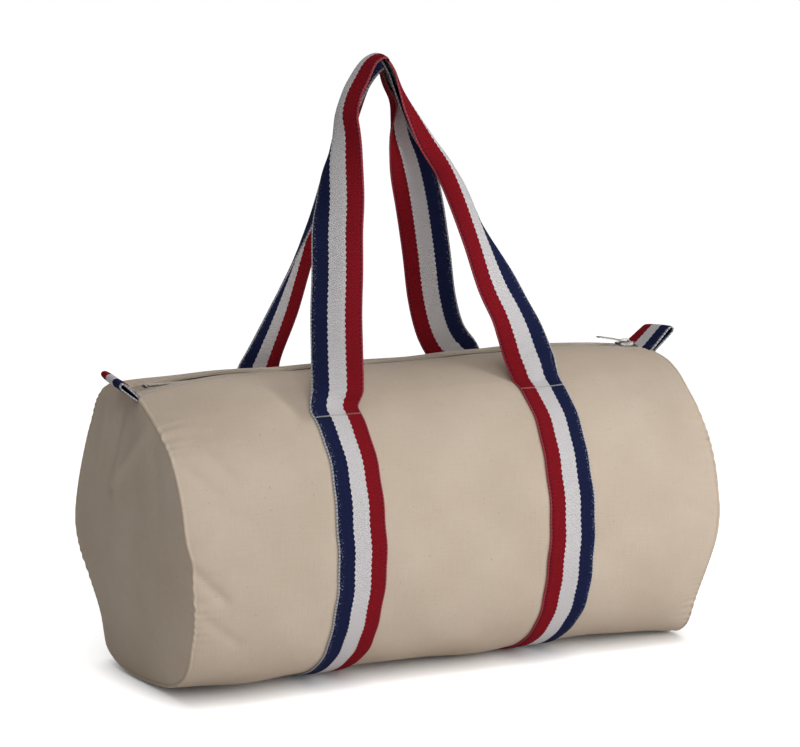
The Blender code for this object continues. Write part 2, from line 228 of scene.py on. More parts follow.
# Main panel: one length of heavy natural cotton canvas, wrapped round the bag and sewn at both ends
# to the round panels. It is open along the zip, and each raw edge is folded under and topstitched.
half_length = 0.225
half_width = 0.12
half_height = 0.12
middle_height = 0.1191
corner_fullness = 0.039
sag = 0.003
seam_draw_in = 0.0018
shoulder_length = 0.0045
canvas_thickness = 0.0012
floor_gap = 0.0021
mouth_half_length = 0.18
mouth_fold = radians(27)
strap_offset = 0.0913
end_zone, end_zone_length = 0.15, 0.075
normal_step = 0.002


def round_section(angle, shrink):
    width = (half_width - shrink) / (1 - corner_fullness)
    y = -width * (np.sin(angle) + corner_fullness * np.sin(3 * angle))
    z = (half_height - shrink) * np.cos(angle) + sag * (np.cos(2 * angle) - 1)
    return y, z + middle_height


def bell(values, width):
    return np.exp(-((values / width) ** 2))


# soft creases in the cloth: x and degrees from the top at both ends, then half width and height
creases = (
    (-0.226, 87.7, -0.2022, 100, 0.0045, -0.0018), (-0.225, 84, -0.205, 77, 0.005, 0.0011),
    (-0.2068, 41.5, -0.188, 55, 0.0065, -0.001), (-0.2192, 36.4, -0.1924, 38, 0.005, -0.001),
    (-0.2172, 107, -0.1908, 118, 0.005, -0.0011), (-0.2093, 66, -0.1805, 73, 0.007, -0.0008),
    (-0.22, 50, -0.2, 62, 0.0045, -0.0009), (-0.221, 95, -0.199, 93, 0.004, 0.0008),
    (-0.124, 17, -0.1205, 33, 0.0075, -0.0042), (-0.07, 19, -0.056, 27, 0.009, -0.0012),
    (0.056, 18, 0.07, 25, 0.009, -0.0014), (0.15, 55, 0.205, 72, 0.012, -0.0007),
    (0.1362, 104, 0.175, 116, 0.012, -0.0008), (0.219, 92, 0.195, 86, 0.008, -0.0009),
    (-0.05, 60, 0.02, 78, 0.016, -0.0006), (-0.02, 110, 0.045, 97, 0.016, -0.0006),
    (-0.19, 262, -0.15, 250, 0.01, -0.001), (0.2, 262, 0.16, 280, 0.01, -0.001),
    (-0.03, 275, 0.04, 262, 0.015, -0.0008), (0.02, 235, 0.06, 246, 0.012, -0.0007),
)


def crease(u, v, ends, width, height):
    """A soft fold along a straight line that fades at both ends."""
    u0, v0, u1, v1 = ends
    along = np.array([u1 - u0, v1 - v0])
    length = np.hypot(*along)
    t = ((u - u0) * along[0] + (v - v0) * along[1]) / length**2
    off = np.hypot(u - u0 - t * along[0], v - v0 - t * along[1])
    past = np.maximum(np.maximum(-t, t - 1), 0) * length
    return height * np.exp(-((off / width) ** 2) - (past / (1.2 * width)) ** 2)


def puckers(x, angle):
    """The short gathers that the seam's stitches pull into the cloth, between -1 and 1."""
    tight = np.sin(96 * angle + 2.4 * np.sin(6 * angle) + 1.5 * np.sin(17 * angle + np.sign(x)))
    return tight * (0.12 + 0.88 * np.sin(2.5 * angle + np.sign(x) + 1.1) ** 6)


def lie(x, angle):
    """How far the filled cloth stands in or out of the plain round shape."""
    x, angle = np.broadcast_arrays(np.asarray(x, float), np.asarray(angle, float))
    from_top = np.minimum(angle, tau - angle)
    signed = (angle + pi) % tau - pi
    over_top = bell(from_top, radians(38))
    left, right = (np.clip((s * x - end_zone) / end_zone_length, 0, 1) for s in (-1, 1))
    droop = -0.01 * left**1.5 * bell(signed - radians(22), radians(30)) - 0.0015 * left * over_top
    droop = droop - 0.006 * np.clip((x - 0.12) / 0.105, 0, 1) ** 1.6 * over_top
    corner = 0.008 * right**1.3 * bell(angle - radians(153), radians(17))
    corner = corner - 0.0036 * left**2 * bell(angle - radians(166), radians(28))
    dip = -0.0024 * bell(x, 0.06) * over_top
    swell = 0.0011 * np.sin(19 * x + 2.0 * angle + 0.8) + 0.0008 * np.sin(37 * x - 3.0 * angle + 2.1)
    ripple = 0.00045 * np.sin(61 * x + 5.0 * angle + 4.0) + 0.0003 * np.sin(95 * x - 8.0 * angle + 1.0)
    from_seam = np.clip(half_length - np.abs(x), 0, None)
    drawn = np.exp(-from_seam / 0.007) - np.exp(-from_seam / 0.0012)
    gather = -0.0022 * (0.45 + 0.55 * puckers(x, angle)) * drawn
    ridge = 0.001 * bell(from_seam - 0.0004, 0.001)
    held = -0.0006 * bell(np.abs(x) - strap_offset, 0.024)
    folds = sum(
        crease(x, half_width * angle, (x0, half_width * radians(d0), x1, half_width * radians(d1)), w, h)
        for x0, d0, x1, d1, w, h in creases
    )
    return droop + corner + dip + (swell + ripple) * (1 - over_top * 0.6) + gather + ridge + held + folds


# the end seams don't run true: degrees from the top towards the front, and millimetres outwards
seam_runs = {
    -1: ((0, 1), (21, 4), (35, 4.5), (46, 5), (56, 6), (66, 6.4), (77, 6.6), (84, 4), (88, -0.5), (92, 2.8),
         (100, 1.3), (106, 0), (120, 0), (135, -3.9), (149, -6.6), (165, -9), (180, -7), (200, -2.2),
         (210, -1), (218, -4.3), (226, -6.6), (233, -6.4), (240, -4.7), (247, -2.5), (253, 0.8), (259, 2.9),
         (265, 4.4), (271, 4.1), (277, 2.7), (283, 1.1), (290, -0.8), (296, -2.2), (303, -3), (311, -4),
         (320, -2.2), (340, 0)),
    1: ((0, 1), (21, 0.5), (31, -2.4), (39, -4.4), (46, -3.6), (53, -3.4), (59, -1.6), (65, -0.8), (71, 0.5),
        (77, 1.1), (83, 1.6), (91, 3), (101, 0), (108, -3), (115, -4.9), (123, -5.4), (133, -4.2), (148, 2.0),
        (165, 3), (180, 0), (190, -2), (215, -4), (240, -2), (265, 3), (290, 1), (320, -3), (345, -1)),
}
seam_degrees = np.arange(0, 360, 2.0)
seam_out = {}
for side, run in seam_runs.items():
    degrees, millimetres = np.array(run).T
    wavering = np.interp(seam_degrees, degrees, millimetres, period=360) / 1000
    seam_out[side] = sum(np.roll(wavering, k) * w for k, w in ((-2, 1), (-1, 2), (0, 3), (1, 2), (2, 1))) / 9


def seam_wander(x, angle):
    """How far the end seam's line pulls the cloth outwards along the bag."""
    degrees = np.degrees(angle)
    shifts = {side: np.interp(degrees, seam_degrees, out, period=360) for side, out in seam_out.items()}
    share = np.clip((np.abs(x) - end_zone) / end_zone_length, 0, 1)
    scallop = 0.0004 * puckers(x, angle) * bell(half_length - np.abs(x), 0.004)
    return np.where(x < 0, -shifts[-1], shifts[1]) * share**1.5 + np.sign(x) * scallop


def canvas(x, angle, outwards=0.0):
    """Points on the filled canvas, or off it by a distance outwards."""
    x, angle = np.broadcast_arrays(np.asarray(x, float), np.asarray(angle, float))
    depth = np.clip((np.abs(x) - (half_length - shoulder_length)) / shoulder_length, 0, 0.96)
    shrink = seam_draw_in * (1 - np.sqrt(1 - depth**2))
    y, z = round_section(angle, shrink)
    y0, z0 = round_section(angle - normal_step, shrink)
    y1, z1 = round_section(angle + normal_step, shrink)
    run = np.hypot(y1 - y0, z1 - z0)
    push = outwards + lie(x, angle)
    y = y + push * (z1 - z0) / run
    z = z - push * (y1 - y0) / run
    return np.stack([x + seam_wander(x, angle), y, np.maximum(z, floor_gap - outwards)], -1)


def angle_in_front(distance):
    """Angle of the point that stands this far in front of the zip line."""
    angles = np.linspace(0, pi / 3, 2000)
    return float(np.interp(distance, -round_section(angles, 0.0)[0], angles))


sharp_edge = radians(48)


def plain_mesh(points, faces, flat):
    """A smooth mesh that knows each point's place on the flat cloth."""
    mesh = bpy.data.meshes.new("plain")
    mesh.from_pydata(points.tolist(), [], faces)
    corners = np.zeros(len(mesh.loops), np.int32)
    mesh.loops.foreach_get("vertex_index", corners)
    mesh.uv_layers.new(name="cloth").data.foreach_set("uv", flat[corners].astype(np.float32).ravel())
    mesh.shade_smooth()
    return mesh


def cloth_mesh(outer, inner, weave, present=None):
    """A mesh of two layers of points, closed along every border, with its place on the cloth."""
    lift = np.cross(outer[:-1, 1:] - outer[:-1, :-1], outer[1:, :-1] - outer[:-1, :-1])
    if (lift * (outer - inner)[:-1, :-1]).sum() < 0:
        outer, inner, weave = outer[:, ::-1], inner[:, ::-1], weave[:, ::-1]
        present = None if present is None else present[:, ::-1]
    rows, columns = outer.shape[:2]
    if present is None:
        present = np.ones((rows - 1, columns - 1), bool)
    count = rows * columns
    faces = []
    beside = ((-1, 0), (0, 1), (1, 0), (0, -1))
    for i, j in zip(*np.nonzero(present)):
        ring = [i * columns + j, i * columns + j + 1, (i + 1) * columns + j + 1, (i + 1) * columns + j]
        faces.append(ring)
        faces.append([k + count for k in reversed(ring)])
        for side, (di, dj) in enumerate(beside):
            inside = 0 <= i + di < rows - 1 and 0 <= j + dj < columns - 1 and present[i + di, j + dj]
            if not inside:
                p, q = ring[side], ring[(side + 1) % 4]
                faces.append([q, p, p + count, q + count])
    used = np.unique(np.array(faces))
    place = np.full(2 * count, -1)
    place[used] = np.arange(len(used))
    points = np.concatenate([outer.reshape(-1, 3), inner.reshape(-1, 3)])[used]
    flat = np.concatenate([weave.reshape(-1, 2)] * 2)[used]
    mesh = plain_mesh(points, place[np.array(faces)].tolist(), flat)
    mesh.set_sharp_from_angle(angle=sharp_edge)
    return mesh


def spread(across, along):
    """A pair of places for every crossing of a column and a row."""
    return np.stack(np.broadcast_arrays(across, along), -1)


def dress(name, mesh, finish, node, body=None):
    """Puts a finished piece in place of its node."""
    mesh.name = name
    piece = bpy.data.objects.new(name, mesh)
    scene.collection.objects.link(piece)
    if finish:
        piece.data.materials.append(finish)
    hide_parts(node)
    if body:
        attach(piece, body)
    return piece


def canvas_finish(name):
    """Natural canvas: slubby cream threads with a few dark flecks of cotton seed."""
    finish = Finish(name, roughness=0.92)
    across, along = finish.cloth_place()
    clouds = finish.noise(across * 14, along * 14, 3.0)
    weft = finish.noise(across * 60, along * 900)
    warp = finish.noise(across * 900, along * 60)
    threads = weft + warp
    flecks = finish.noise(across * 420, along * 420, 1.0).step(0.735, 0.78)
    tone = (clouds * 0.55 + threads * 0.17).step(0.18, 0.76)
    cream = finish.mix(tone, (0.525, 0.424, 0.33), (0.625, 0.525, 0.428))
    colour = finish.mix(flecks * 0.5, cream, (0.27, 0.18, 0.11))
    weave = across.wave(0.0009) * along.wave(0.0009)
    return finish.wear(colour, weave * 0.35 + threads * 0.9, depth=0.0002)


canvas_look = canvas_finish("natural_canvas")
seam_roll = ((0.2249, 0.0026), (0.2255, 0.0016), (0.2257, 0.0008), (0.2254, 0.0002), (0.2249, 0.0))
by_the_seam = (0.2244, 0.2239, 0.2234, 0.2229, 0.2223, 0.2215, 0.2205, 0.2193)
flat_stations = [*by_the_seam, *np.linspace(0.2175, mouth_half_length, 21)]
end_stations = [*seam_roll] + [(x, 0.0) for x in flat_stations]
mouth_stations = [(x, 0.0) for x in np.linspace(mouth_half_length, 0, 62)[1:]]
half_stations = end_stations + mouth_stations
stations = [(-x, tuck) for x, tuck in half_stations] + half_stations[-2::-1]
# distance from the zip line and depth below the canvas, across the folded edge with its two seams
lip_profile = ((0.007, 0.0011), (0.00682, 0.0006), (0.0069, 0.0002), (0.0073, 0.0), (0.0082, 0.0),
               (0.009, 0.00005), (0.0096, 0.0004), (0.0102, 0.00005), (0.0116, -0.0001), (0.013, 0.00005),
               (0.0136, 0.0004), (0.0142, 0.00005), (0.0155, 0.0), (0.018, 0.0), (0.023, 0.0),
               (0.029, 0.0), (0.036, 0.0), (0.043, 0.0), (0.049, 0.0))
lip_turns = np.array([angle_in_front(distance) for distance, depth in lip_profile] + [mouth_fold])[None, :]
lip_tucks = np.array([depth for distance, depth in lip_profile] + [0.0])[None, :]
body_angles = np.linspace(mouth_fold, tau - mouth_fold, 391)[1:-1]
around = np.concatenate([lip_turns[0], body_angles, tau - lip_turns[0, ::-1]])[None, :]
station_x = np.array([x for x, tuck in stations])[:, None]
tucks = np.array([tuck for x, tuck in stations])[:, None]
tucks = tucks + np.concatenate([lip_tucks[0], np.zeros(len(body_angles)), lip_tucks[0, ::-1]])[None, :]
weave = spread(station_x, half_width * around)
between_ends = np.abs(station_x[1:] + station_x[:-1]) / 2 < mouth_half_length
above_folds = np.minimum(around[:, 1:], tau - around[:, :-1]) < mouth_fold + 0.001
body_mesh = cloth_mesh(
    canvas(station_x, around, -tucks),
    canvas(station_x, around, -tucks - canvas_thickness),
    weave,
    present=~(between_ends & above_folds),
)
shell = dress("main_canvas", body_mesh, canvas_look, "main_panel", "bag")
girth = np.linalg.norm(np.diff(canvas(0.0, around[0]), axis=0), axis=1).sum()

# End panels: two round pieces of the same canvas, sewn to the main panel with the seam turned in.
# The filling bulges them, and they slacken under the zip's end, where the tab pulls.
end_bulge = 0.01
rim_reach, rim_depth = 0.2248, 0.0024
both_ends = ((-1, "left"), (1, "right"))
allowance = ((0.219, 0.0032), (0.221, 0.0031), (0.2228, 0.003), (0.224, 0.0028))
shares = np.array([1, 0.994, 0.985, 0.972, 0.955, *np.linspace(0.93, 0.03, 34), 0.001])[:, None]
ring_angles = np.linspace(0, tau, 361)[None, :]
end_creases = {
    -1: ((0.0194, 0.1589, -0.048, 0.208, 0.0055, 0.0036), (0.033, 0.148, 0.01, 0.216, 0.007, -0.0034),
         (0.0578, 0.1596, 0.04, 0.205, 0.006, 0.0026), (-0.012, 0.2, -0.022, 0.09, 0.02, -0.0014),
         (-0.06, 0.19, -0.07, 0.15, 0.01, -0.0022), (0.04, 0.03, 0.06, 0.045, 0.018, -0.003),
         (-0.05, 0.04, -0.02, 0.075, 0.012, -0.0018), (0.085, 0.125, 0.06, 0.11, 0.012, 0.0016)),
    1: ((0.02, 0.16, -0.04, 0.205, 0.007, 0.0016), (-0.012, 0.21, 0.02, 0.08, 0.02, -0.0016),
        (-0.06, 0.06, -0.02, 0.09, 0.012, -0.0012), (0.07, 0.17, 0.05, 0.11, 0.012, -0.0012)),
}
for side, end in both_ends:
    rim = canvas(side * rim_reach, ring_angles, -rim_depth)
    y = rim[..., 1] * shares
    z = middle_height + (rim[..., 2] - middle_height) * shares
    swell = end_bulge * (1 - shares**2) ** 0.62
    pull = 1 - shares**6
    folds = sum(crease(y, z, ends[:4], *ends[4:]) for ends in end_creases[side])
    slack = 0.0007 * np.sin(38 * y + 24 * z + side) * np.sin(22 * z + 0.6)
    pucker = -0.0012 * (1 + puckers(side, ring_angles)) * np.exp(-(1 - shares) / 0.05) * pull
    reach = half_length + (np.abs(rim[..., 0]) - half_length) * shares**3
    x = reach + swell + pull * (folds + slack) + pucker
    outer, inner = (
        np.concatenate(
            [canvas(side * reach, ring_angles, -depth - under) for reach, depth in allowance]
            + [np.stack([side * (x - under), y, z], -1)]
        )
        for under in (0, canvas_thickness)
    )
    mesh = cloth_mesh(outer, inner, outer[..., 1:])
    panel = dress(f"{end}_end_canvas", mesh, canvas_look, f"{end}_end_panel", "bag")

# Seam bindings: a cotton strip folded over the turned-in edge of each end seam, inside the bag. It
# is sewn through all the layers and hides their cut edges.
binding_path = ((0.2232, 0.0019), (0.221, 0.0021), (0.2192, 0.0023), (0.2184, 0.0032), (0.2183, 0.004),
                (0.219, 0.005), (0.2208, 0.0051), (0.2226, 0.0051))
core_reach, core_depth, binding_body = 0.2215, 0.0037, 0.12
for side, end in both_ends:
    path = [canvas(side * reach, ring_angles, -depth) for reach, depth in binding_path]
    outer = np.concatenate(path)
    core = canvas(side * core_reach, ring_angles, -core_depth)
    inner = outer + binding_body * (core - outer)
    weave = spread(np.arange(len(path))[:, None] * 0.002, ring_angles * half_width)
    dress(f"{end}_binding", cloth_mesh(outer, inner, weave), canvas_look, f"{end}_seam_binding", "bag")

# Body webbing: two cotton straps woven in navy, white and red, sewn round the body and under it with
# the red edge towards the middle. Each turns up into a handle at the front and at the back.
webbing_width = 0.04
webbing_thickness = 0.0018
stripe_edge = webbing_width / 6
sewn_gap = 0.0003
stitch_angles = {-1: radians(35.7), 1: radians(30.6)}
front_side, back_side = -1, 1

webbing = Finish("striped_webbing", roughness=0.9, gloss=0.03)
across, along = webbing.cloth_place()
ribs = along.wave(0.00125)
teeth = along.teeth(0.0042)
fuzz = webbing.noise(across * 1400, along * 1400, 2.0)
speck = webbing.noise(across * 900, along * 700, 1.0)
edge = across.maths("ABSOLUTE", across)
navy_yarn = webbing.mix(fuzz.step(0.25, 0.8), (0.006, 0.008, 0.03), (0.018, 0.024, 0.078))
white_yarn = webbing.mix(fuzz.step(0.2, 0.75), (0.5, 0.475, 0.485), (0.7, 0.675, 0.685))
red_yarn = webbing.mix(fuzz.step(0.2, 0.8), (0.145, 0.005, 0.009), (0.285, 0.012, 0.02))
past_navy, past_white = (
    (across + place + teeth * 0.00045).step(-0.00012, 0.00012) for place in (stripe_edge, -stripe_edge)
)
stripes = webbing.mix(past_white, webbing.mix(past_navy, navy_yarn, white_yarn), red_yarn)
beat = (along + 0.001).teeth(0.0034).step(-0.1, 0.35)
flecks = speck.step(0.6, 0.66) * (0 - across).step(0.0148, 0.0178)
stripes = webbing.mix(flecks * 0.55, stripes, (0.42, 0.43, 0.48))
dotted = across.step(0.0172, 0.0175) * (1 - across.step(0.0184, 0.0187)) * beat
stripes = webbing.mix(dotted * 0.9, stripes, (0.03, 0.012, 0.03))
selvedge_yarn = webbing.mix(across.step(0.0, 0.004), (0.5, 0.5, 0.52), (0.34, 0.07, 0.08))
selvedge = edge.step(0.0187, 0.0191) * (0.55 + 0.45 * (along + 0.0007).teeth(0.0028).step(-0.5, 0.2))
stripes = webbing.mix(selvedge, stripes, selvedge_yarn)
herringbone = (along + (across + 0.5).teeth(0.0046) * 0.0007).wave(0.0019)
webbing_look = webbing.wear(stripes, herringbone * 0.3 + ribs * 0.1 + fuzz * 0.8, depth=0.0005)

web_steps = np.array([0, 0.16, 0.333, 0.48, 0.62, 0.76, 0.88, 0.96, 0.992, 1])
web_columns = np.concatenate([-web_steps[:0:-1], web_steps])[None, :] * webbing_width / 2
web_body = webbing_thickness * (1 - 0.6 * np.abs(web_columns * 2 / webbing_width) ** 14)


def sewn_webbing(side, turn, above=0.0):
    """Points of a strap on the canvas, with its edges a little uneven."""
    wander = 0.0004 * np.sin(9 * turn + side) + 0.0003 * np.sin(23 * turn + 2 * side)
    x = side * strap_offset - side * web_columns + wander
    return canvas(x, turn, sewn_gap + above)


for side, end in both_ends:
    turn = np.linspace(stitch_angles[side], tau - stitch_angles[side], 260)[:, None]
    weave = spread(web_columns, turn * half_width)
    outer, inner = sewn_webbing(side, turn, web_body), sewn_webbing(side, turn)
    mesh = cloth_mesh(outer, inner, weave)
    dress(f"{end}_body_strap", mesh, webbing_look, f"{end}_body_webbing", "bag")

# Handles: the free lengths of the two straps, one loop at the front and one at the back. The webbing
# is stiff enough to stand. It twists as it rises and folds under itself where a hand has held it.

# each row: place between the feet, height, turn of the white stripe, curl of the red and navy stripes
front_route = np.array([
    (-1, 0, 0, 0, 0), (-0.966, 0.067, 0.103, 2, 2), (-0.94, 0.158, 0.168, 9, 2),
    (-0.901, 0.272, 0.192, 18, -3), (-0.846, 0.385, 0.21, 22, -6), (-0.805, 0.493, 0.226, 16, -5),
    (-0.755, 0.586, 0.25, 15, 16), (-0.721, 0.686, 0.292, 10, 43), (-0.681, 0.765, 0.385, 8, 74),
    (-0.666, 0.821, 0.491, 30, 113), (-0.602, 0.874, 0.528, 30, 144), (-0.502, 0.924, 0.515, 22, 163),
    (-0.374, 0.971, 0.558, 15, 172), (-0.247, 0.991, 0.578, 12, 175), (-0.145, 0.982, 0.59, 10, 175),
    (-0.074, 0.94, 0.592, 6, 173), (-0.018, 0.889, 0.614, 12, 167), (0.049, 0.846, 0.632, 27, 152),
    (0.133, 0.798, 0.638, 45, 128), (0.25, 0.732, 0.662, 66, 101), (0.382, 0.661, 0.69, 74, 73),
    (0.49, 0.573, 0.758, 56, 46), (0.6, 0.438, 0.802, 38, 14), (0.703, 0.306, 0.895, 20, -8),
    (0.808, 0.22, 0.95, 12, 2), (0.865, 0.16, 1.015, 10, 3), (0.91, 0.095, 1.06, 8, 0),
    (0.961, 0.04, 1.055, 4, 0), (1, 0, 1, 0, 0),
])
back_route = np.array([
    (-1, 0, 0, 0, 0), (-0.965, 0.04, 0.04, 0, 0), (-0.916, 0.096, 0.092, 0, 2),
    (-0.801, 0.227, 0.15, 15, 8), (-0.692, 0.38, 0.245, 32, 14), (-0.581, 0.542, 0.341, 58, 19),
    (-0.473, 0.705, 0.398, 93, 16), (-0.361, 0.848, 0.431, 129, 13), (-0.244, 0.956, 0.445, 155, 12),
    (-0.124, 1.017, 0.446, 167, 15), (-0.011, 1.023, 0.448, 167, 20), (0.068, 0.957, 0.492, 172, 22),
    (0.167, 0.889, 0.57, 166, 16), (0.237, 0.783, 0.66, 108, 9), (0.341, 0.69, 0.727, 58, 1),
    (0.454, 0.562, 0.76, 18, -6), (0.577, 0.383, 0.791, 0, -6), (0.674, 0.226, 0.817, -2, -2),
    (0.782, 0.112, 0.866, 0, 0), (0.902, 0.04, 0.938, 0, 0), (1, 0, 1, 0, 0),
])
top_offset = {front_side: 0.002, back_side: 0.0232}
rise_of = {front_side: 0.264, back_side: 0.2465}
both_faces = ((front_side, "front"), (back_side, "back"))
foot_length = 0.017
fine_rows, handle_rows, curl_steps = 1200, 250, 81
curl_start, curl_run = 0.0034, 0.0074


def smooth(values):
    values = np.clip(values, 0, 1)
    return values * values * (3 - 2 * values)


def through(rows, count):
    """A smooth run of rows through the given ones."""
    ghosts = np.concatenate([[2 * rows[0] - rows[1]], rows, [2 * rows[-1] - rows[-2]]])
    place = np.linspace(0, len(rows) - 1, count)
    first = np.minimum(place.astype(int), len(rows) - 2)
    t = (place - first)[:, None]
    a, b, c, d = (ghosts[first + k] for k in range(4))
    return 0.5 * (2 * b + (c - a) * t + (2 * a - 5 * b + 4 * c - d) * t**2 + (3 * b - a - 3 * c + d) * t**3)


def unit(vectors):
    return vectors / np.linalg.norm(vectors, axis=-1, keepdims=True)


def foot_turn(outward, side):
    return stitch_angles[side] if outward == front_side else tau - stitch_angles[side]


def handle_mesh(outward, table):
    on_strap = sewn_gap + webbing_thickness
    left_foot, right_foot = (canvas(s * strap_offset, foot_turn(outward, s), on_strap) for s in (-1, 1))
    middle, half_span = (left_foot + right_foot) / 2, (right_foot - left_foot) / 2
    lean = np.array([0, outward * top_offset[outward] - middle[1], rise_of[outward]])
    fine = through(table, fine_rows)
    route = middle + half_span * fine[:, :1] + lean * fine[:, 1:2]
    run = np.concatenate([[0], np.cumsum(np.linalg.norm(np.diff(route, axis=0), axis=1))])
    rows = np.linspace(0, run[-1], handle_rows)
    fine = np.stack([np.interp(rows, run, column) for column in fine.T], -1)
    route = middle + half_span * fine[:, :1] + lean * fine[:, 1:2]
    onward = unit(np.gradient(route, axis=0))
    turn = pi * fine[:, 2]
    to_red = np.stack([np.cos(turn), outward * np.sin(turn), np.zeros(len(turn))], -1)
    to_red = unit(to_red - onward * (to_red * onward).sum(-1, keepdims=True))
    face = -outward * np.cross(to_red, onward)
    # the stripes curl towards the inside of the loop, each within a few yarns of its border
    steps = np.linspace(-webbing_width / 2, webbing_width / 2, curl_steps)
    red_curl, navy_curl = np.radians(fine[:, 3:4]), np.radians(fine[:, 4:5])
    red_share, navy_share = (smooth((way * steps - curl_start) / curl_run) for way in (1, -1))
    curl = red_curl * red_share - navy_curl * navy_share
    onto = np.cos(curl)[..., None] * to_red[:, None] - np.sin(curl)[..., None] * face[:, None]
    along_width = np.cumsum(onto, axis=1) * (steps[1] - steps[0])
    along_width -= along_width[:, curl_steps // 2, None]
    sheet = route[:, None] - webbing_thickness / 2 * face[:, None] + along_width
    skin = np.cos(curl)[..., None] * face[:, None] + np.sin(curl)[..., None] * to_red[:, None]
    pick = (web_columns[0] / webbing_width + 0.5) * (curl_steps - 1)
    low = np.minimum(pick.astype(int), curl_steps - 2)
    share = (pick - low)[None, :, None]
    sheet = sheet[:, low] * (1 - share) + sheet[:, low + 1] * share
    skin = unit(skin[:, low] * (1 - share) + skin[:, low + 1] * share)
    outer = sheet + skin * (web_body - webbing_thickness / 2)[..., None]
    inner = sheet - skin * webbing_thickness / 2
    # the first stretch over each foot leaves the sewn strap smoothly
    for side, distance in ((-1, rows), (1, rows[-1] - rows)):
        near = distance < foot_length
        kept = (1 - smooth(distance[near] / foot_length))[:, None, None]
        onto_top = distance[near, None] / half_width * (-1 if outward == front_side else 1)
        turn_there = foot_turn(outward, side) + onto_top
        outer[near] = kept * sewn_webbing(side, turn_there, web_body) + (1 - kept) * outer[near]
        inner[near] = kept * sewn_webbing(side, turn_there) + (1 - kept) * inner[near]
    return cloth_mesh(outer, inner, spread(web_columns, rows[:, None]))


for (outward, end), table in zip(both_faces, (front_route, back_route)):
    loop = dress(f"{end}_webbing_loop", handle_mesh(outward, table), webbing_look, f"{end}_handle")
    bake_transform(loop)

# Cross stitches: one row of white thread across each strap where its sewn part ends, worked back and
# forth over the webbing. It sinks into the white stripe and shows most on the navy.
thread_radius, thread_sides = 0.00026, 6
thread_setback = 0.003
zigzag_reach, zigzag_points, zigzag_sway = 0.0192, 97, 0.00055
thread_rise, thread_dip = 0.00008, 0.0001

thread = Finish("sewing_thread", roughness=0.75)
across, along = thread.cloth_place()
on_red = across.step(0.005, 0.0075)
thread_tone = thread.mix(on_red, (0.6, 0.58, 0.56), (0.5, 0.22, 0.22))
thread_look = thread.wear(thread_tone, along.wave(0.0006), depth=0.0001)


def thread_mesh(lines, places):
    """Round threads along lines of points."""
    corners = np.linspace(0, tau, thread_sides + 1)[:-1]
    rings, faces, spots = [], [], []
    for line, place in zip(lines, places):
        onward = unit(np.gradient(line, axis=0))
        aside = unit(np.cross(onward, (0.31, 0.12, 0.94)))
        lift = np.cross(aside, onward)
        taper = np.ones(len(line))
        taper[[0, -1]] = 0.35
        ring = line[:, None] + thread_radius * taper[:, None, None] * (
            np.cos(corners)[None, :, None] * aside[:, None] + np.sin(corners)[None, :, None] * lift[:, None]
        )
        base = sum(len(r) for r in rings)
        last = base + thread_sides * (len(line) - 1)
        for first in range(base, last, thread_sides):
            second = first + thread_sides
            for j in range(thread_sides):
                k = (j + 1) % thread_sides
                faces.append([first + j, first + k, second + k, second + j])
        faces.append([base + j for j in reversed(range(thread_sides))])
        faces.append([last + j for j in range(thread_sides)])
        rings.append(ring.reshape(-1, 3))
        spots.append(np.repeat(place, thread_sides, axis=0))
    return plain_mesh(np.concatenate(rings), faces, np.concatenate(spots))


zigzag = np.linspace(-zigzag_reach, zigzag_reach, zigzag_points)
sway = np.tile([-1.0, 0.0, 1.0, 0.0], zigzag_points // 4 + 1)[:zigzag_points] * zigzag_sway
for outward, front_or_back in both_faces:
    for side, end in both_ends:
        setback = (thread_setback + sway) / half_width
        turn = foot_turn(outward, side) + (setback if outward == front_side else -setback)
        over_under = np.cos(np.arange(zigzag_points) * pi)
        height = sewn_gap + webbing_thickness + thread_rise + thread_dip * over_under
        line = canvas(side * strap_offset - side * zigzag, turn, height)
        place = np.stack([zigzag, np.linspace(0, 0.05, zigzag_points)], -1)
        name = f"{front_or_back}_{end}_cross"
        dress(f"{name}_thread", thread_mesh([line], [place]), thread_look, f"{name}_stitch", "bag")

# Mouth: the same canvas on both sides of the zip. It stays sewn at the zip's ends, so the opening is
# lens-shaped, and each side is made in two halves.
for outward, end in both_faces:
    for side, half in both_ends:
        kept = slice(len(end_stations) - 1, len(half_stations))
        x = np.array([s for s, tuck in half_stations[kept]])[:, None] * side
        turn = lip_turns if outward == front_side else tau - lip_turns
        weave = spread(x, half_width * turn)
        outer, inner = canvas(x, turn, -lip_tucks), canvas(x, turn, -lip_tucks - canvas_thickness)
        mesh = cloth_mesh(outer, inner, weave)
        lip = dress(f"{end}_mouth_{half}_half", mesh, canvas_look, f"{end}_mouth_panel")
        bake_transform(lip)

# Zip: a light coil zip. Its two cotton tapes lie under the folded canvas edges and are topstitched
# through them twice. The coil's ribs interlock along the middle, and a metal stop closes each end.
tape_top = 0.2376
tape_thickness = 0.0006
tape_edge, tape_reach = 0.0009, 0.0157
coil_base, coil_top = 0.2379, 0.2397
rib_pitch = 0.0018
topstitch_rows = (0.0096, 0.0136)
stitch_length, stitch_gap = 0.0026, 0.0006
zip_ends = {-1: 0.215, 1: 0.2205}
zip_settle, settled_to, settle_fade = 0.0047, (0.214, 0.2185), 0.004
topstitch_end, stitch_dip, stitch_rise = 0.2195, 0.00022, 0.00045
slider_ends, wedge_ahead, wedge_room = (-0.205, 0.2105), 0.0055, 0.0032
end_tape_reach, end_tape_side = 0.2238, 0.0078

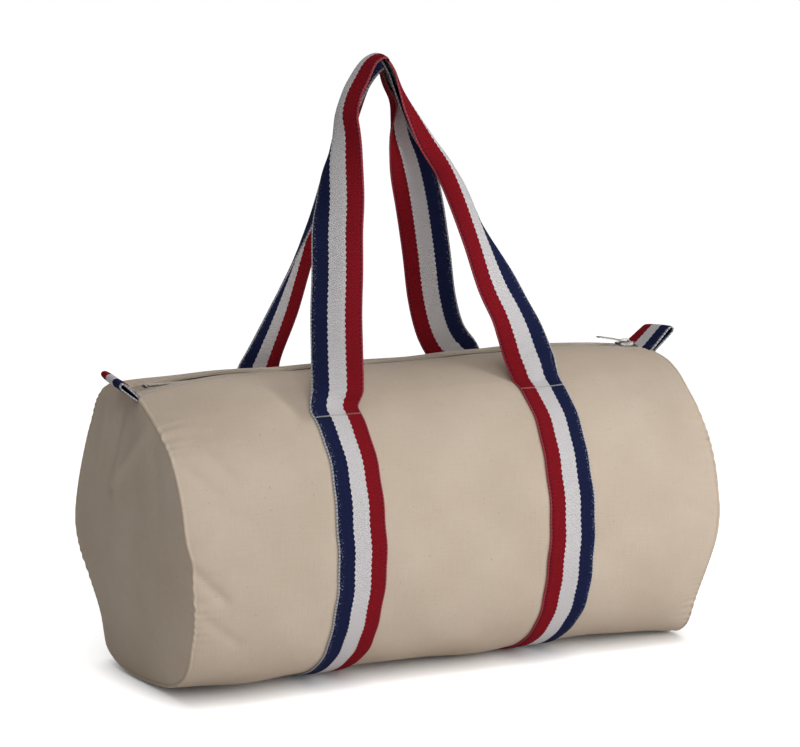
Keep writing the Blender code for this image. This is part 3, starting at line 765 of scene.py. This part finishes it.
tape = Finish("zip_tape", roughness=0.85)
across, along = tape.cloth_place()
slubs = tape.noise(across * 300, along * 900).step(0.3, 0.7)
tape_tone = tape.mix(slubs, (0.42, 0.37, 0.3), (0.53, 0.47, 0.39))
tape_look = tape.wear(tape_tone, across.wave(0.0008) * 0.5 + along.wave(0.0006) * 0.5, depth=0.0002)
coil = Finish("zip_coil", roughness=0.42, gloss=0.4)
across, along = coil.cloth_place()
spots = coil.noise(across * 200, along * 200).step(0.3, 0.7)
coil_tone = coil.mix(spots, (0.5, 0.45, 0.38), (0.6, 0.55, 0.47))
coil_look = coil.wear(coil_tone, across.wave(0.001), depth=0.00008)


def zip_sink(x):
    """The zip lies level in its channel as far as the slider runs, and its ends follow the canvas."""
    past = np.clip((np.abs(x) - np.where(x < 0, *settled_to)) / settle_fade, 0, 1)
    return -zip_settle + past * np.minimum(lie(x, 0.0) + zip_settle, 0)


def tape_mesh(x, y):
    flat = spread(x, y)
    outer = np.concatenate([flat, tape_top + zip_sink(flat[..., :1])], -1)
    return cloth_mesh(outer, outer - (0, 0, tape_thickness), flat)


def coil_mesh(start, end, outward):
    """Ribs of one side's coil: they reach between the other side's, but where the slider parts them."""
    places = np.arange(np.ceil(start / rib_pitch), np.floor(end / rib_pitch)) * rib_pitch
    places = places + (rib_pitch / 4 if outward == front_side else -rib_pitch / 4)
    width = np.array([-0.0007, -0.0004, 0.0004, 0.0014, 0.0024, 0.003, 0.0032])
    size = np.array([0.45, 0.85, 1.0, 1.0, 0.95, 0.7, 0.3])
    corners = np.linspace(0, tau, 9)[:-1]
    middle_z, half = (coil_base + coil_top) / 2, (coil_top - coil_base) / 2
    points, faces = [], []
    for place in places:
        base = len(points)
        sunk = middle_z + float(zip_sink(place))
        parted = min(abs(place - slider_end - wedge_ahead) for slider_end in slider_ends) < wedge_room
        for w, s in zip(np.linspace(0.0007, 0.0032, 7) if parted else width, size):
            for corner in corners:
                thick = rib_pitch * (0.27 if w < 0.0008 else 0.4)
                points.append((place + thick * s * cos(corner), outward * w, sunk + half * s * sin(corner)))
        for ring in range(len(width) - 1):
            for j in range(8):
                k = (j + 1) % 8
                a = base + ring * 8
                quad = [a + j, a + k, a + 8 + k, a + 8 + j]
                faces.append(quad if outward == back_side else quad[::-1])
        first, last = [base + j for j in range(8)], [base + (len(width) - 1) * 8 + j for j in range(8)]
        faces += [first[::-1], last] if outward == back_side else [first, last[::-1]]
    points = np.array(points)
    return plain_mesh(points, faces, points[:, :2])


def topstitch_lines(start, end, outward):
    """Single stitches of the two rows through the canvas edge, as short lines that dip at both ends."""
    lines, places = [], []
    for row in topstitch_rows:
        turn = angle_in_front(row)
        turn = turn if outward == front_side else tau - turn
        for first in np.arange(start, end - stitch_length, stitch_length + stitch_gap):
            t = np.linspace(0, 1, 6)
            height = -stitch_dip + stitch_rise * np.sin(pi * t) ** 0.6
            lines.append(canvas(first + stitch_length * t, turn, height))
            places.append(np.stack([np.full(6, -0.01), first + stitch_length * t], -1))
    return lines, places


def joined(meshes, finishes):
    """One mesh of several, each with its own finish."""
    whole = bmesh.new()
    for index, mesh in enumerate(meshes):
        start = len(whole.faces)
        whole.from_mesh(mesh)
        whole.faces.ensure_lookup_table()
        for face in whole.faces[start:]:
            face.material_index = index
    made = bpy.data.meshes.new("joined")
    whole.to_mesh(made)
    whole.free()
    for finish in finishes:
        made.materials.append(finish)
    return made


for outward, end in both_faces:
    for side, half in both_ends:
        x = np.linspace(0, mouth_half_length, 91)[:, None] * side
        y = outward * np.linspace(tape_edge, tape_reach, 5)[None, :]
        low, high = (0, mouth_half_length) if side == 1 else (-mouth_half_length, 0)
        name = f"{end}_{half}_zip"
        lines, places = topstitch_lines(low, high, outward)
        stitched = joined([tape_mesh(x, y), thread_mesh(lines, places)], [tape_look, thread_look])
        cloth = dress(f"{name}_tape", stitched, None, f"{end}_zip_tape")
        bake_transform(cloth)
        ribs = dress(f"{name}_coil", coil_mesh(low, high, outward), coil_look, f"{end}_zip_coil")
        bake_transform(ribs)

for side, end in both_ends:
    reach = zip_ends[side]
    x = side * np.linspace(mouth_half_length, end_tape_reach, 24)[:, None]
    low, high = sorted((side * mouth_half_length, side * (reach - 0.001)))
    beside = np.linspace(tape_edge, end_tape_side, 4)[None, :]
    pieces = [tape_mesh(x, outward * beside) for outward in (front_side, back_side)]
    past_slider = side * np.linspace(reach - 0.0016, end_tape_reach, 6)[:, None]
    pieces.append(tape_mesh(past_slider, np.linspace(-tape_edge, tape_edge, 3)[None, :]))
    for outward in (front_side, back_side):
        lines, places = topstitch_lines(*sorted((side * mouth_half_length, side * topstitch_end)), outward)
        pieces.append(thread_mesh(lines, places))
    stitched = joined(pieces, [tape_look] * 3 + [thread_look] * 2)
    dress(f"{end}_zip_end", stitched, None, f"{end}_zip_end_tape", "bag")
    halves = [coil_mesh(low, high, outward) for outward in (front_side, back_side)]
    ribs = joined(halves, [coil_look] * 2)
    dress(f"{end}_zip_end_ribs", ribs, None, f"{end}_zip_end_coil", "bag")

# Tab loops: a short length of the striped webbing folded in two at each end of the zip, its cut ends
# sewn into the end seam. Each is a little rolled, because the canvas under it slackens to the front.
tab_reach = {-1: 0.019, 1: 0.0236}
tab_slit = {-1: 0.0009, 1: 0.0012}
tab_root = {-1: (-0.2268, 0.23), 1: (0.2268, 0.2321)}
tab_tilt = {-1: radians(36), 1: radians(39)}
tab_roll = {-1: (0.2, 0.092), 1: (0.084, -0.1)}
tab_sewn_in, tab_narrowing = 0.0035, 0.06

for side, end in both_ends:
    length, slope = tab_reach[side], tab_tilt[side]
    half_gap = (tab_slit[side] + webbing_thickness) / 2
    # side view of the loop: out along the top, round the fold and back along the underside
    fold_start = length - half_gap * 2.1
    out = np.linspace(-tab_sewn_in, fold_start, 24)
    round_the_fold = np.linspace(pi / 2, -pi / 2, 15)[1:-1]
    swell = 1 + 0.5 * smooth(out / fold_start)
    nose = [fold_start + half_gap * 1.9 * np.cos(round_the_fold), half_gap * 1.5 * np.sin(round_the_fold)]
    loop = np.concatenate([
        np.stack([out, half_gap * swell], -1),
        np.stack(nose, -1),
        np.stack([out[::-1], -half_gap * swell[::-1]], -1),
    ])
    tangent = unit(np.gradient(loop, axis=0))
    outwards = np.stack([-tangent[:, 1], tangent[:, 0]], -1)
    distance = np.concatenate([[0], np.cumsum(np.linalg.norm(np.diff(loop, axis=0), axis=1))])
    share = np.clip(loop[:, :1] / length, 0, 1)
    width = web_columns * (1 - tab_narrowing + tab_narrowing * share)
    lift = width * (tab_roll[side][0] * (1 - share) + tab_roll[side][1] * share)
    bow = 0.0006 * (1 - (web_columns * 2 / webbing_width) ** 2) * share
    layers = []
    for off in (web_body / 2 + bow, -web_body / 2 + bow):
        section = loop[:, None] + outwards[:, None] * off[..., None]
        forward = section[..., 0] * cos(slope) - section[..., 1] * sin(slope)
        upward = section[..., 0] * sin(slope) + section[..., 1] * cos(slope)
        root_x, root_z = tab_root[side]
        layers.append(np.stack([root_x + side * forward, width, root_z + upward + lift], -1))
    weave = spread(web_columns, distance[:, None] + 0.01)
    tab = dress(f"{end}_tab", cloth_mesh(*layers, weave), webbing_look, f"{end}_tab_loop")
    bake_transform(tab)

# Metal fittings: a die-cast slider whose two plates grip the coil, a pull stamped from sheet that turns
# in the slider's bridge, and a stop clamped over the coil at each end, all in dull nickel plate.
slider_place, pivot_level = 0.2105, 0.2421
fitting_sink = 0.0046
pull_tilt = radians(11)
rounding, metal_edge = 0.00022, radians(40)
rail_low, rail_high, cast_half = 0.2382, 0.2403, 0.0008
in_plan, in_profile, across_zip = (0, 1, 2), (0, 2, 1), (2, 0, 1)
sorting = Vector((1, 0.618, 0.377))

nickel = Finish("nickel_plate", roughness=0.3, metallic=1.0, gloss=0.5)
spot = nickel.node("ShaderNodeNewGeometry", {}, {})
scuffs = nickel.node("ShaderNodeTexNoise", {}, {"Vector": spot, "Scale": 700.0, "Detail": 3.0})
nickel_tone = nickel.mix(scuffs.step(0.35, 0.75), (0.17, 0.16, 0.145), (0.11, 0.103, 0.093))
nickel_look = nickel.wear(nickel_tone, scuffs, depth=0.00004)
nickel.feed(nickel.shader.inputs["Roughness"], 0.24 + scuffs * 0.16)


def cast_mesh(slabs):
    """One mesh of metal slabs with rounded edges: an outline, its two levels and how it lies."""
    whole = bmesh.new()
    for outline, low, high, lie_of in slabs:
        rings = []
        for level in (low, high):
            points = [(u, v, level) for u, v in outline]
            rings.append([whole.verts.new([point[k] for k in lie_of]) for point in points])
        count = len(outline)
        sides = [(rings[0][k], rings[0][k - 1], rings[1][k - 1], rings[1][k]) for k in range(count)]
        faces = [whole.faces.new(ring) for ring in (rings[0], rings[1][::-1], *sides)]
        edges = list(dict.fromkeys(edge for face in faces for edge in face.edges))
        bmesh.ops.bevel(whole, geom=edges, offset=rounding, segments=2, profile=0.6, affect="EDGES")
    bmesh.ops.recalc_face_normals(whole, faces=whole.faces)
    # the bevel leaves another order every run
    whole.verts.sort(key=lambda point: point.co.dot(sorting))
    whole.faces.sort(key=lambda face: face.calc_center_median().dot(sorting))
    mesh = bpy.data.meshes.new("cast")
    whole.to_mesh(mesh)
    whole.free()
    mesh.shade_smooth()
    mesh.set_sharp_from_angle(angle=metal_edge)
    return mesh


def mirrored(half, about=1):
    """An outline from its half: the other half has the sign of one coordinate turned."""
    signs = (1, -1) if about == 1 else (-1, 1)
    return [*half, *[(u * signs[0], v * signs[1]) for u, v in reversed(half)]]


plate = mirrored([(0.0064, 0.0007), (0.0075, 0.0022), (0.007, 0.004), (0.0058, 0.0046), (0.0015, 0.0046),
                  (-0.0025, 0.00435), (-0.0066, 0.0043), (-0.0075, 0.0034)])
rail = [(0.0069, 0.0041), (0.0058, 0.0046), (0.0015, 0.0046), (-0.0025, 0.00435), (-0.0066, 0.0043),
        (-0.0066, 0.0035), (0.0069, 0.0035)]
wedge = mirrored([(0.0074, 0.0003), (0.0056, 0.0006), (0.0036, 0.0001)])
arch = mirrored([(0.0034, 0.2411), (0.0033, 0.2424), (0.0026, 0.243)], about=0)
bridge = [(0.0046, 0.2409), (0.0045, 0.2424), (0.0036, 0.2435), (0.0022, 0.2439)]
bridge = [*bridge, *[(-u, v) for u, v in reversed(bridge)], *arch[::-1]]
slider_mesh = cast_mesh([
    (plate, 0.24, 0.2412, in_plan),
    (plate, 0.2355, 0.2367, in_plan),
    (rail, rail_low, rail_high, in_plan),
    ([(u, -v) for u, v in rail], rail_low, rail_high, in_plan),
    (wedge, 0.2364, rail_high, in_plan),
    (bridge, -cast_half, cast_half, in_profile),
])
slider_mesh.transform(Matrix.Translation((slider_place, 0, -fitting_sink)))
dress("cast_slider", slider_mesh, nickel_look, "zip_slider", "slider")

tip = [(-0.0254 - 0.0021 * sin(k * pi / 12), 0.0021 * cos(k * pi / 12)) for k in range(6)]
stamped = (-0.0006, 0.0006, in_plan)
pull_arm = [(0.0005, 0.0027), (-0.0082, 0.0027), (-0.0082, 0.0015), (0.0005, 0.0015)]
panel_end = [(-0.0242 - 0.0013 * sin(k * pi / 12), 0.0013 * cos(k * pi / 12)) for k in range(6)]
pull_mesh = cast_mesh([
    (mirrored([(0.0006, 0.0026), (-0.0006, 0.0026)]), *stamped),
    (pull_arm, *stamped),
    ([(u, -v) for u, v in pull_arm], *stamped),
    (mirrored([(-0.0068, 0.0027), (-0.0086, 0.0027), (-0.0105, 0.0023), *tip]), *stamped),
    (mirrored([(-0.0098, 0.0012), (-0.0112, 0.0015), *panel_end]), 0.0003, 0.00085, in_plan),
])
tilted = Matrix.Rotation(pull_tilt, 4, "Y")
pull_mesh.transform(Matrix.Translation((slider_place, 0, pivot_level - fitting_sink)) @ tilted)
dress("stamped_pull", pull_mesh, nickel_look, "zip_puller", "puller")

clamp = mirrored([(0.0028, 0.2379), (0.0037, 0.2379), (0.0037, 0.2391), (0.003, 0.2398)], about=0)
clamp = [*clamp, (-0.0025, 0.2388), (0.0025, 0.2388)]
for side, end in both_ends:
    place = zip_ends[side] * side
    stop_mesh = cast_mesh([(clamp, -cast_half, cast_half, across_zip)])
    stop_mesh.transform(Matrix.Translation((place, 0, float(zip_sink(place)))))
    dress(f"{end}_clamped_stop", stop_mesh, nickel_look, f"{end}_zip_stop", "bag")
